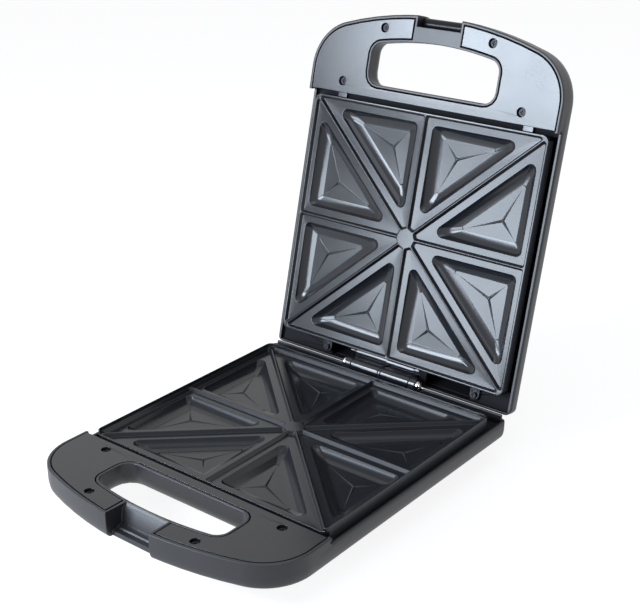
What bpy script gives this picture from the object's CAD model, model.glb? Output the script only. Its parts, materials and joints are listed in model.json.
"""Dresses the packed sandwich toaster: moulded casings, coated plates, metal pieces, and the studio."""

import json
import math

import bmesh
import bpy
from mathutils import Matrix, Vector

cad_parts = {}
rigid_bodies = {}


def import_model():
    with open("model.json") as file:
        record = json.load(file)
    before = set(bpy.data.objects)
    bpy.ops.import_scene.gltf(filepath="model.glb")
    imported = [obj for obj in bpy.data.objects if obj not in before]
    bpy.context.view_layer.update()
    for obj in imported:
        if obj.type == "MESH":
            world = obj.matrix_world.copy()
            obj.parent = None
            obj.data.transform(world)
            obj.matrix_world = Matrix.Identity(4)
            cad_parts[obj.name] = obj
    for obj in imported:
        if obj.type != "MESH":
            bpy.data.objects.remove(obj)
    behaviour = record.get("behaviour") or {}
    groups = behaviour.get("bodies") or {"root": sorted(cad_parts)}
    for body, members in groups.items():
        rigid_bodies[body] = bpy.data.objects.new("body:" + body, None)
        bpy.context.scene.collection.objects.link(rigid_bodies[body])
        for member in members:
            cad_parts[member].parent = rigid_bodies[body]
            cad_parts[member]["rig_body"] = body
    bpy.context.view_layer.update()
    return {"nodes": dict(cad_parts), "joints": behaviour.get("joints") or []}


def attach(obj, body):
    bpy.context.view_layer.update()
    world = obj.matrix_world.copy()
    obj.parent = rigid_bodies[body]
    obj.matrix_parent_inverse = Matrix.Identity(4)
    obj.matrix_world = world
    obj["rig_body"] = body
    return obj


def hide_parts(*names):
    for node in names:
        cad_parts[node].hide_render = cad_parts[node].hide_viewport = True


bl_info = {
    "name": "Sandwich toaster",
    "version": (1, 0, 0),
    "blender": (4, 5, 0),
    "location": "3D View > Sidebar > Toaster",
    "description": "Builds the visible pieces and finishes of a sandwich toaster round its packed model",
    "category": "Object",
}

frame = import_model()
nodes = frame["nodes"]
hinge = Vector(next(j["pos_m"] for j in frame["joints"] if j["name"] == "lid_hinge"))
lid_swing = math.radians(next(j["range_deg"][1] for j in frame["joints"] if j["name"] == "lid_hinge"))
SAME_POINT = 0.000004
SAME_PLANE = 0.00002
SAME_FACING = 0.003
SLANTED = math.radians(60)
RESIN_IOR = 1.5
COOL_WHITE = (0.76, 0.87, 1.0)
FLOOR_WIDTH = 12


# Sizes and colours that a user would change


class ToasterSizes(bpy.types.PropertyGroup):
    casing_round: bpy.props.FloatProperty(
        name="Casing edge radius", description="Rounding of the moulded casing's edges",
        default=0.0006, min=0.0001, max=0.001, precision=4, unit="LENGTH")
    cover_round: bpy.props.FloatProperty(
        name="Cover edge radius", description="Rounding of the handle covers' edges",
        default=0.00035, min=0.0001, max=0.0008, precision=4, unit="LENGTH")
    plate_round: bpy.props.FloatProperty(
        name="Plate edge radius", description="Rounding of the cooking plates' edges",
        default=0.0004, min=0.0001, max=0.0006, precision=4, unit="LENGTH")
    metal_round: bpy.props.FloatProperty(
        name="Metal edge radius", description="Rounding of the screws, pins and caps",
        default=0.0002, min=0.00005, max=0.0004, precision=5, unit="LENGTH")
    barrel_radius: bpy.props.FloatProperty(
        name="Barrel radius", description="Radius of the hinge barrels, which are polished",
        default=0.006, min=0.005, max=0.007, precision=4, unit="LENGTH")


class ToasterColours(bpy.types.PropertyGroup):
    casing: bpy.props.FloatVectorProperty(
        name="Casing", description="Satin moulded black", subtype="COLOR",
        default=(0.014, 0.014, 0.017), min=0, max=1)
    cover: bpy.props.FloatVectorProperty(
        name="Handle cover", description="Semi-gloss moulded black", subtype="COLOR",
        default=(0.012, 0.012, 0.015), min=0, max=1)
    coating: bpy.props.FloatVectorProperty(
        name="Non-stick coating", description="Charcoal coating of the plates", subtype="COLOR",
        default=(0.013, 0.014, 0.017), min=0, max=1)
    steel: bpy.props.FloatVectorProperty(
        name="Steel", description="Plated steel", subtype="COLOR",
        default=(0.62, 0.62, 0.64), min=0, max=1)
    sleeve: bpy.props.FloatVectorProperty(
        name="Wire sleeve", description="Silicone sleeving", subtype="COLOR",
        default=(0.5, 0.06, 0.04), min=0, max=1)


# Shader maths


class Wire:
    """A socket that can be used in sums."""

    def __init__(self, shader, socket):
        self.shader, self.socket = shader, socket

    def _sum(self, operation, a, b):
        return self.shader.node("ShaderNodeMath", {"operation": operation}, {0: a, 1: b})

    def __add__(self, other):
        return self._sum("ADD", self, other)

    __radd__ = __add__

    def __mul__(self, other):
        return self._sum("MULTIPLY", self, other)

    __rmul__ = __mul__

    def __sub__(self, other):
        return self._sum("SUBTRACT", self, other)

    def __rsub__(self, other):
        return self._sum("SUBTRACT", other, self)


class Shader:
    """A material or a world whose nodes are made one call at a time."""

    def __init__(self, name, family="materials"):
        self.owner = getattr(bpy.data, family).new(name)
        self.owner.use_nodes = True
        self.tree = self.owner.node_tree
        self.tree.nodes.clear()

    def node(self, kind, settings=None, values=None, out=0):
        made = self.tree.nodes.new(kind)
        for key, value in (settings or {}).items():
            setattr(made, key, value)
        for key, value in (values or {}).items():
            if isinstance(value, Wire):
                self.tree.links.new(value.socket, made.inputs[key])
            else:
                made.inputs[key].default_value = value
        return Wire(self, made.outputs[out]) if made.outputs else None

    def ramp(self, factor, stops):
        wire = self.node("ShaderNodeValToRGB", {}, {"Fac": factor})
        steps = wire.socket.node.color_ramp.elements
        while len(steps) < len(stops):
            steps.new(0.5)
        for step, (place, value) in zip(steps, stops):
            step.position = place
            step.color = (value, value, value, 1)
        return wire

    def tint(self, factor, colour, low, high):
        """The colour, darker where the factor is 0 and lighter where it is 1."""
        dark = [min(c * low, 1) for c in colour[:3]] + [1]
        light = [min(c * high, 1) for c in colour[:3]] + [1]
        return self.node(
            "ShaderNodeMix", {"data_type": "RGBA"}, {"Factor": factor, 6: dark, 7: light}, out=2)

    def place(self):
        return self.node("ShaderNodeTexCoord", out="Object")

    def noise(self, scale, detail=3.0, place=None):
        return self.node(
            "ShaderNodeTexNoise", {}, {"Vector": place or self.place(), "Scale": scale, "Detail": detail})

    def bump(self, height, strength, distance):
        return self.node(
            "ShaderNodeBump", {}, {"Height": height, "Strength": strength, "Distance": distance})

    def ray(self, kind):
        return self.node("ShaderNodeLightPath", out=f"Is {kind} Ray")

    def seen_directly(self):
        """1 where the camera looks, straight or by way of a reflection or a clear piece."""
        return self.node("ShaderNodeMath", {"operation": "ADD", "use_clamp": True}, {
            0: self.ray("Camera") + self.ray("Glossy"), 1: self.ray("Transmission")})

    def finish(self, surface, output="ShaderNodeOutputMaterial"):
        self.node(output, {}, {"Surface": surface})
        return self.owner


def moulded_plastic(name, colour, rough, grain, depth, shine=0.5):
    """Spark-eroded plastic: a fine grain, faint rubbed patches and a slight change of tone."""
    s = Shader(name)
    fine = s.noise(grain, 2.0)
    patches = s.noise(26.0, 4.0)
    return s.finish(s.node("ShaderNodeBsdfPrincipled", {}, {
        "Base Color": s.tint(patches, colour, 0.8, 1.25),
        "Roughness": (patches - 0.5) * 0.10 + (fine - 0.5) * 0.08 + rough,
        "Normal": s.bump(fine, 0.2, depth),
        "Specular IOR Level": shine,
        "IOR": RESIN_IOR}))


def nonstick_coating(name, colour, rough=0.18, shine=0.42):
    """A sprayed coating: fine orange peel, pale specks and rubbed patches."""
    s = Shader(name)
    peel = s.noise(900.0, 3.0)
    speck = s.ramp(s.noise(2600.0, 1.0), [(0.0, 0.0), (0.66, 0.0), (0.74, 1.0)])
    patches = s.noise(18.0, 4.0)
    return s.finish(s.node("ShaderNodeBsdfPrincipled", {}, {
        "Base Color": s.tint(patches * 0.5 + speck * 0.5, colour, 0.75, 1.6),
        "Roughness": (patches - 0.5) * 0.10 + (peel - 0.5) * 0.06 + rough,
        "Normal": s.bump(peel, 0.2, 0.00005),
        "Specular IOR Level": shine,
        "IOR": RESIN_IOR}))


def brushed_metal(name, colour, rough, along=(1, 14, 14)):
    """Drawn metal with fine lines and faint tarnish."""
    s = Shader(name)
    stretched = s.node("ShaderNodeMapping", {}, {"Vector": s.place(), "Scale": along})
    lines = s.noise(320.0, 3.0, stretched)
    tarnish = s.noise(60.0, 4.0)
    return s.finish(s.node("ShaderNodeBsdfPrincipled", {}, {
        "Base Color": s.tint(tarnish, colour, 0.8, 1.1),
        "Metallic": 1.0,
        "Roughness": (lines - 0.5) * 0.2 + (tarnish - 0.5) * 0.1 + rough,
        "Normal": s.bump(lines, 0.2, 0.00004)}))


def matt_solid(name, colour, rough, scale):
    """Rubber, ceramic and sleeving: a matt body with a soft mottle."""
    s = Shader(name)
    mottle = s.noise(scale, 5.0)
    return s.finish(s.node("ShaderNodeBsdfPrincipled", {}, {
        "Base Color": s.tint(mottle, colour, 0.75, 1.2),
        "Roughness": (mottle - 0.5) * 0.15 + rough,
        "Normal": s.bump(mottle, 0.3, 0.0001)}))


def clear_lens(name, colour):
    """A small tinted lens with fine prism lines."""
    s = Shader(name)
    lines = s.node("ShaderNodeTexWave", {"wave_type": "RINGS"}, {"Vector": s.place(), "Scale": 260.0})
    return s.finish(s.node("ShaderNodeBsdfPrincipled", {}, {
        "Base Color": s.tint(lines, colour, 0.7, 1.2),
        "Roughness": lines * 0.1 + 0.08,
        "Normal": s.bump(lines, 0.2, 0.0001),
        "Coat Weight": 0.5}))


# Making pieces


def join_widest_face(shape):
    """Makes the widest flat side's triangles one face, so that its holes' bevels leave no crease."""
    widest = max(shape.faces, key=lambda face: face.calc_area())
    facing, level = widest.normal.copy(), widest.calc_center_median().dot(widest.normal)
    flat = {face for face in shape.faces if face.normal.angle(facing, math.pi) < SAME_FACING
            and abs(face.calc_center_median().dot(facing) - level) < SAME_PLANE}
    bmesh.ops.dissolve_limit(
        shape, angle_limit=math.radians(0.2), use_dissolve_boundaries=False, delimit=set(),
        verts=list({vert for face in flat for vert in face.verts}),
        edges=[edge for edge in shape.edges if all(face in flat for face in edge.link_faces)])


def mark_bevels(shape, angle, crumb):
    """Weights the edges that turn by more than the angle, except round slanted ones shorter than crumb."""
    weight = shape.edges.layers.float.new("bevel_weight_edge")
    for edge in shape.edges:
        edge[weight] = edge.calc_face_angle(0) > math.radians(angle)
    for tiny in [edge for edge in shape.edges if edge[weight] and edge.calc_length() < crumb
                 and edge.calc_face_angle(0) < SLANTED]:
        for edge in {edge for vert in tiny.verts for edge in vert.link_edges}:
            edge[weight] = 0


def merged_copy(name, node, radius, angle=38, segments=3, soft_angle=32, crumb=0, join_flat=False):
    """A piece with a CAD node's own form, its triangles joined, its edges rounded and its curves smooth."""
    shape = bmesh.new()
    shape.from_mesh(nodes[node].data)
    bmesh.ops.remove_doubles(shape, verts=shape.verts, dist=SAME_POINT)
    if join_flat:
        join_widest_face(shape)
    mark_bevels(shape, angle, crumb)
    mesh = bpy.data.meshes.new(name)
    shape.to_mesh(mesh)
    shape.free()
    piece = bpy.data.objects.new(name, mesh)
    bpy.context.scene.collection.objects.link(piece)
    mesh.shade_smooth()
    mesh.set_sharp_from_angle(angle=math.radians(soft_angle))
    rounding = piece.modifiers.new("rounding", "BEVEL")
    rounding.width = radius
    rounding.segments = segments
    rounding.limit_method = "WEIGHT"
    rounding.use_clamp_overlap = False
    flats = piece.modifiers.new("flats", "WEIGHTED_NORMAL")
    flats.keep_sharp = True
    return piece


def dress(piece, node, slot, *materials):
    """Lets a piece stand in for a CAD node, on that node's body."""
    for material in materials:
        piece.data.materials.append(material)
    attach(piece, nodes[node]["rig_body"])
    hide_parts(node)


def paint(node, material):
    """Gives a CAD node that stays its material."""
    mesh = nodes[node].data
    mesh.materials.clear()
    mesh.materials.append(material)


def sizes():
    return bpy.context.scene.toaster_sizes


def colours():
    return bpy.context.scene.toaster_colours


class ToasterCasings(bpy.types.Operator):
    """Make the two moulded casings, with polished hinge barrels"""

    bl_idname = "toaster.casings"
    bl_label = "Casings"

    barrel_reach = 0.045
    barrel_skin = 0.0003
    recess_half_width = 0.1306
    recess_depth = 0.009
    rear_gap = (-0.02, 0.0012)
    front_gap = (-0.254, -0.244)
    tiny_edge = 0.0003

    def execute(self, context):
        satin = moulded_plastic("satin_casing", colours().casing, 0.40, 1500.0, 0.00008)
        polished = moulded_plastic("polished_barrel", colours().casing, 0.16, 600.0, 0.00002)
        matt = moulded_plastic("matt_recess", [c * 0.6 for c in colours().casing], 0.75, 900.0, 0.0001, 0.15)
        for node, swing in (("lower_casing", 0.0), ("upper_casing", lid_swing)):
            piece = merged_copy(node.replace("casing", "shell"), node, sizes().casing_round, angle=46,
                                crumb=self.tiny_edge, join_flat=node == "upper_casing")
            dress(piece, node, "casing", satin, polished, matt)
            for face in piece.data.polygons:
                face.material_index = self.zone(face.center, swing)
        return {"FINISHED"}

    def zone(self, spot, swing):
        """0 on the satin shell, 1 on the barrels, 2 in the recesses before and behind the plate."""
        y, z = spot.y - hinge.y, spot.z - hinge.z
        if math.hypot(y, z) < sizes().barrel_radius + self.barrel_skin and abs(spot.x) < self.barrel_reach:
            return 1
        along = y * math.cos(swing) - z * math.sin(swing)
        depth = abs(y * math.sin(swing) + z * math.cos(swing))
        in_gap = any(start < along < end for start, end in (self.rear_gap, self.front_gap))
        return 2 if in_gap and depth > self.recess_depth and abs(spot.x) < self.recess_half_width else 0


class ToasterCovers(bpy.types.Operator):
    """Make the handle covers"""

    bl_idname = "toaster.covers"
    bl_label = "Handle covers"

    def execute(self, context):
        semi_gloss = moulded_plastic("semi_gloss_cover", colours().cover, 0.24, 1100.0, 0.00003)
        for node in ("lower_handle_cover", "upper_handle_cover"):
            piece = merged_copy(node.replace("handle_cover", "cover"), node, sizes().cover_round)
            dress(piece, node, "cover", semi_gloss)
        return {"FINISHED"}


class ToasterPlates(bpy.types.Operator):
    """Make the two coated cooking plates"""

    bl_idname = "toaster.plates"
    bl_label = "Cooking plates"

    side_skin = 0.0002
    front_facing = -0.3
    least_rise, most_rise = 0.15, 0.95

    def execute(self, context):
        coating = nonstick_coating("nonstick_coating", colours().coating)
        thin_coat = nonstick_coating("thin_coat", [c * 2.5 for c in colours().coating], 0.48, 0.6)
        baked_coat = nonstick_coating("baked_coat", colours().coating, 0.3, 0.2)
        for node in ("lower_plate", "upper_plate"):
            piece = merged_copy(node.replace("plate", "grill_plate"), node, sizes().plate_round,
                                angle=42, segments=2, soft_angle=36)
            dress(piece, node, "coated_plate", coating, thin_coat, baked_coat)
            half_width = max(abs(vertex.co.x) for vertex in piece.data.vertices)
            for face in piece.data.polygons:
                face.material_index = self.coat(face, half_width, node == "lower_plate")
        return {"FINISHED"}

    def coat(self, face, half_width, lower):
        """0 on most of a plate, 1 on its outer side walls, 2 on the lower plate's front-facing slopes."""
        sloping = self.least_rise < face.normal.z < self.most_rise
        if lower and sloping and face.normal.y < self.front_facing:
            return 2
        return 1 if abs(face.center.x) > half_width - self.side_skin else 0


class ToasterMetal(bpy.types.Operator):
    """Finish the screws, pins, caps, hinge strip, elements and reflectors"""

    bl_idname = "toaster.metal"
    bl_label = "Metal pieces"

    def execute(self, context):
        bright = brushed_metal("bright_steel", colours().steel, 0.24)
        blackened = brushed_metal("blackened_steel", (0.03, 0.03, 0.033), 0.45)
        heated = brushed_metal("heat_tinted_tube", (0.30, 0.27, 0.25), 0.4)
        folded = brushed_metal("folded_sheet", (0.75, 0.75, 0.76), 0.3)
        dull = brushed_metal("dull_steel", (0.2, 0.2, 0.21), 0.42)
        for name, node, slot, metal in (
                ("lower_screws", "lower_handle_screws", "dark_steel", blackened),
                ("upper_screws", "upper_handle_screws", "dark_steel", blackened),
                ("lower_lug_screws", "lower_plate_screws", "dark_steel", blackened),
                ("upper_lug_screws", "upper_plate_screws", "dark_steel", blackened),
                ("pin_caps", "hinge_pin_caps", "steel", bright),
                ("strip", "hinge_leaf", "steel", dull)):
            dress(merged_copy(name, node, sizes().metal_round), node, slot, metal)
        for node, metal in (
                ("hinge_pin", bright), ("latch_pin", bright),
                ("lower_element", heated), ("upper_element", heated),
                ("lower_reflector", folded), ("upper_reflector", folded)):
            paint(node, metal)
        return {"FINISHED"}


class ToasterLatch(bpy.types.Operator):
    """Make the latch"""

    bl_idname = "toaster.latch"
    bl_label = "Latch"

    def execute(self, context):
        darker = [c * 0.7 for c in colours().casing]
        gloss = moulded_plastic("gloss_latch", darker, 0.22, 1300.0, 0.00003, 0.16)
        dress(merged_copy("clip", "latch", sizes().casing_round), "latch", "casing", gloss)
        return {"FINISHED"}


class ToasterInside(bpy.types.Operator):
    """Finish the feet, the gland, the lamps and the electrical pieces"""

    bl_idname = "toaster.inside"
    bl_label = "Feet and electrical pieces"

    def execute(self, context):
        rubber = matt_solid("black_rubber", (0.02, 0.02, 0.02), 0.8, 700.0)
        ceramic = matt_solid("off_white_ceramic", (0.72, 0.7, 0.63), 0.5, 500.0)
        sleeve = matt_solid("silicone_sleeve", colours().sleeve, 0.45, 900.0)
        cap = brushed_metal("pressed_cap", (0.6, 0.6, 0.58), 0.35)
        dress(merged_copy("feet", "rubber_feet", sizes().casing_round), "rubber_feet", "rubber", rubber)
        dress(merged_copy("gland", "cord_gland", sizes().cover_round), "cord_gland", "rubber", rubber)
        for node in ("terminal_block", "thermal_fuse"):
            paint(node, ceramic)
        for node in ("lower_wiring", "upper_wiring"):
            paint(node, sleeve)
        paint("thermostat", cap)
        paint("pilot_lamps", clear_lens("neon_lamp", (0.9, 0.7, 0.5)))
        dress(merged_copy("red_lens", "power_lens", sizes().metal_round), "power_lens", "red_lens",
              clear_lens("red_lens", (0.55, 0.02, 0.012)))
        dress(merged_copy("green_lens", "ready_lens", sizes().metal_round), "ready_lens", "green_lens",
              clear_lens("green_lens", (0.02, 0.32, 0.06)))
        return {"FINISHED"}


def lay_floor(material):
    """A square floor under the toaster, which is no part of it."""
    shape = bmesh.new()
    bmesh.ops.create_grid(shape, x_segments=1, y_segments=1, size=0.5 * FLOOR_WIDTH)
    mesh = bpy.data.meshes.new("floor")
    shape.to_mesh(mesh)
    shape.free()
    mesh.materials.append(material)
    floor = bpy.data.objects.new("floor", mesh)
    bpy.context.scene.collection.objects.link(floor)


def soft_panel(name, place, aim, width, height, power):
    """A rectangular lamp that stands at a place and faces an aim."""
    lamp = bpy.data.lights.new(name, "AREA")
    lamp.shape, lamp.size, lamp.size_y = "RECTANGLE", width, height
    lamp.energy, lamp.color = power, COOL_WHITE
    panel = bpy.data.objects.new(name, lamp)
    panel.location = place
    panel.rotation_euler = (aim - place).to_track_quat("-Z", "Y").to_euler()
    bpy.context.scene.collection.objects.link(panel)


class ToasterStage(bpy.types.Operator):
    """Set up the camera, the pale floor and the soft light"""

    bl_idname = "toaster.stage"
    bl_label = "Stage"

    focal_length = 72.065
    camera_from_hinge = Vector((0.63056, -0.88963, 0.52886))
    yaw, pitch = math.radians(38.3987), math.radians(22.9454)

    def execute(self, context):
        self.place_camera(context.scene)
        context.scene.view_settings.view_transform = "Standard"
        lay_floor(self.pale_floor())
        context.scene.world = self.pale_world()
        middle = hinge + Vector((0, -0.1, 0.12))
        lid_middle = middle + Vector((0, 0, 0.1))
        lid_top = hinge + Vector((0, 0, 0.3))
        soft_panel("softbox", middle + Vector((-0.6, -1.62, 0.1)), lid_middle, 1.0, 0.46, 23)
        soft_panel("cover_light", hinge + Vector((-0.5, -0.98, 0.56)), lid_top, 0.6, 0.24, 12.5)
        soft_panel("top_fill", middle + Vector((0.3, -0.3, 1.7)), middle, 1.2, 1.2, 8)
        return {"FINISHED"}

    def place_camera(self, scene):
        """Puts the camera where it stood for the photo, as found by fitting the part's points to it."""
        lens = bpy.data.cameras.new("camera")
        lens.sensor_width = 36.0
        lens.lens = self.focal_length
        lens.clip_start, lens.clip_end = 0.01, 50
        camera = bpy.data.objects.new("camera", lens)
        scene.collection.objects.link(camera)
        level = math.cos(self.pitch)
        forward = Vector((-math.sin(self.yaw) * level, math.cos(self.yaw) * level, -math.sin(self.pitch)))
        camera.location = hinge + self.camera_from_hinge
        camera.rotation_euler = forward.to_track_quat("-Z", "Y").to_euler()
        scene.camera = camera

    def pale_floor(self):
        """White where it is seen, a little darker in the object's shadow."""
        s = Shader("pale_floor")
        paper = s.node("ShaderNodeBsdfDiffuse", {}, {"Color": (0.8, 0.8, 0.8, 1)})
        lit = s.node("ShaderNodeAddShader", {}, {
            0: s.node("ShaderNodeBsdfDiffuse", {}, {"Color": (0.3, 0.3, 0.3, 1)}),
            1: s.node("ShaderNodeEmission", {}, {"Color": (1, 1, 1, 1), "Strength": 0.87})})
        return s.finish(s.node("ShaderNodeMixShader", {}, {"Fac": s.seen_directly(), 1: paper, 2: lit}))

    def pale_world(self):
        """White where it is seen, dim as a light."""
        s = Shader("studio", "worlds")
        sky = s.node("ShaderNodeMix", {"data_type": "RGBA"}, {
            "Factor": s.seen_directly(), 6: (0.30, 0.30, 0.32, 1), 7: (1, 1, 1, 1)}, out=2)
        return s.finish(s.node("ShaderNodeBackground", {}, {"Color": sky}), "ShaderNodeOutputWorld")


class ToasterPanel(bpy.types.Panel):
    """Lists the toaster's steps"""

    bl_idname = "VIEW3D_PT_toaster"
    bl_label = "Sandwich toaster"
    bl_space_type = "VIEW_3D"
    bl_region_type = "UI"
    bl_category = "Toaster"

    def draw(self, context):
        for group in (context.scene.toaster_sizes, context.scene.toaster_colours):
            for name in group.__annotations__:
                self.layout.prop(group, name)
        for step in STEPS:
            self.layout.operator(step.bl_idname)


STEPS = (
    ToasterCasings, ToasterCovers, ToasterPlates, ToasterMetal, ToasterLatch, ToasterInside, ToasterStage)
CLASSES = (ToasterSizes, ToasterColours) + STEPS + (ToasterPanel,)


def register():
    for cls in CLASSES:
        bpy.utils.register_class(cls)
    bpy.types.Scene.toaster_sizes = bpy.props.PointerProperty(type=ToasterSizes)
    bpy.types.Scene.toaster_colours = bpy.props.PointerProperty(type=ToasterColours)


def unregister():
    del bpy.types.Scene.toaster_colours
    del bpy.types.Scene.toaster_sizes
    for cls in reversed(CLASSES):
        bpy.utils.unregister_class(cls)


def main():
    register()
    for step in STEPS:
        group, name = step.bl_idname.split(".")
        if getattr(getattr(bpy.ops, group), name)() != {"FINISHED"}:
            raise RuntimeError(f"{step.bl_label} did not finish")


if __name__ == "__main__":
    main()
